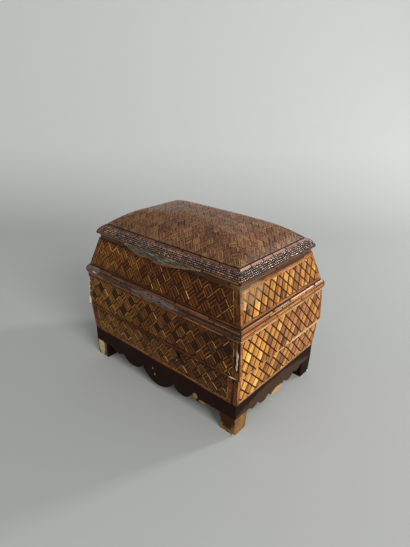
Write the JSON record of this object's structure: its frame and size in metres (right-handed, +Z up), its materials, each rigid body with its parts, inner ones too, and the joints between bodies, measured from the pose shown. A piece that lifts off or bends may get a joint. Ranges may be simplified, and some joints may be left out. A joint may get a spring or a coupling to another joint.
{
  "type": "straw marquetry casket",
  "caption": "Small footed keepsake casket with a hinged crowned lid, sloping shoulders, a round waist band, a lockable drawer and a scalloped apron.",
  "frame": {"origin": "on the floor, under the middle of the casket's widest outline", "axes": "+Z up, front looks along -Y, +X is the right side as seen by someone facing the front"},
  "size_m": [0.218, 0.149, 0.1842],
  "materials": {
    "straw_veneer": "straw lozenge veneer under old varnish, satin",
    "straw_moulding": "straw wrapped moulding under old varnish, glossy where rubbed",
    "plum_stain": "dark plum stain, satin",
    "foot_wood": "bare, rubbed, with traces of dark stain",
    "bare_wood": "bare softwood, aged",
    "old_brass": "tarnished",
    "dark_iron": "dark, rusted"
  },
  "bodies": {
    "case": {"plinth_front": "plum_stain", "plinth_right": "plum_stain", "plinth_back": "plum_stain", "plinth_left": "plum_stain", "foot_front_left": "foot_wood", "foot_front_right": "foot_wood", "foot_back_right": "foot_wood", "foot_back_left": "foot_wood", "base_board": "bare_wood", "lower_left": "straw_veneer", "lower_right": "straw_veneer", "lower_back": "straw_veneer", "dust_panel": "bare_wood", "middle_front": "straw_veneer", "middle_right": "straw_veneer", "middle_back": "straw_veneer", "middle_left": "straw_veneer", "upper_front": "straw_veneer", "upper_right": "straw_veneer", "upper_back": "straw_veneer", "upper_left": "straw_veneer", "waist_band_front": "straw_moulding", "waist_band_right": "straw_moulding", "waist_band_back": "straw_moulding", "waist_band_left": "straw_moulding", "hinge_wall_leaf_left": "old_brass", "hinge_wall_leaf_right": "old_brass", "hinge_pin_left": "old_brass", "hinge_pin_right": "old_brass"},
    "lid": {"rim_front": "straw_moulding", "rim_right": "straw_moulding", "rim_back": "straw_moulding", "rim_left": "straw_moulding", "crown_panel": "straw_veneer", "hinge_lid_leaf_left": "old_brass", "hinge_lid_leaf_right": "old_brass"},
    "drawer": {"drawer_front": "straw_veneer", "drawer_left": "bare_wood", "drawer_right": "bare_wood", "drawer_back": "bare_wood", "drawer_bottom": "bare_wood", "lock_case": "dark_iron"},
    "bolt": {"lock_bolt": "dark_iron"}
  },
  "joints": [
    {"name": "lid_hinge", "type": "hinge", "parent": "case", "child": "lid", "pos_m": [0, 0.0634, 0.1494], "axis": [-1, 0, 0], "range_deg": [0, 100]},
    {"name": "drawer_slide", "type": "slide", "parent": "case", "child": "drawer", "axis": [0, -1, 0], "range_m": [0, 0.1]},
    {"name": "bolt_slide", "type": "slide", "parent": "drawer", "child": "bolt", "axis": [0, 0, 1], "range_m": [0, 0.0035]}
  ]
}
